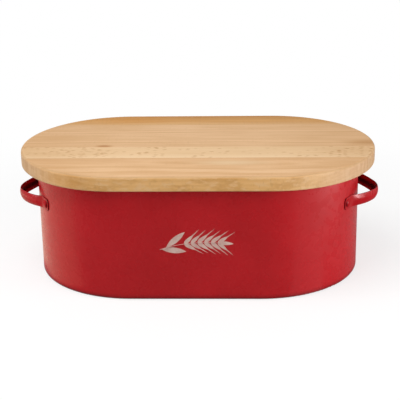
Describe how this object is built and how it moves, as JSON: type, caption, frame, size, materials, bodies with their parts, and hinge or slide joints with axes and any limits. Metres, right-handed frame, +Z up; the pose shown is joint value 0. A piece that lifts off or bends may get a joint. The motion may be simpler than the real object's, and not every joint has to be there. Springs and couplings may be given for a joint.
{
  "type": "bread bin",
  "caption": "Oval sheet-steel bread bin with a strap handle riveted to each round end and a lift-off beech board lid that doubles as a bread board.",
  "frame": {"origin": "centre of the bin's footprint, on the surface that it stands on", "axes": "+X along the long axis towards the right-hand handle, -Y towards the front, +Z up"},
  "size_m": [0.4424, 0.25, 0.1533],
  "materials": {
    "red_coated_sheet": "satin powder coat",
    "red_coated_strap": "satin powder coat",
    "red_coated_rivet": "satin powder coat",
    "washer_steel": "zinc plated",
    "beech_amber": "oiled",
    "beech_rosy": "oiled",
    "beech_pale": "oiled",
    "beech_tan": "oiled"
  },
  "bodies": {
    "bin": {"bin_wall": "red_coated_sheet", "base_panel": "red_coated_sheet", "handle_left": "red_coated_strap", "handle_right": "red_coated_strap", "rivet_left_front": "red_coated_rivet", "rivet_left_rear": "red_coated_rivet", "rivet_right_front": "red_coated_rivet", "rivet_right_rear": "red_coated_rivet", "washer_left_front": "washer_steel", "washer_left_rear": "washer_steel", "washer_right_front": "washer_steel", "washer_right_rear": "washer_steel"},
    "lid": {"lid_stave_rear": "beech_amber", "lid_stave_wide": "beech_rosy", "lid_stave_pale": "beech_pale", "lid_stave_front": "beech_tan"}
  },
  "joints": [
    {"name": "lid_lift", "type": "slide", "parent": "bin", "child": "lid", "axis": [0, 0, 1], "range_m": [0, 0.2]}
  ]
}
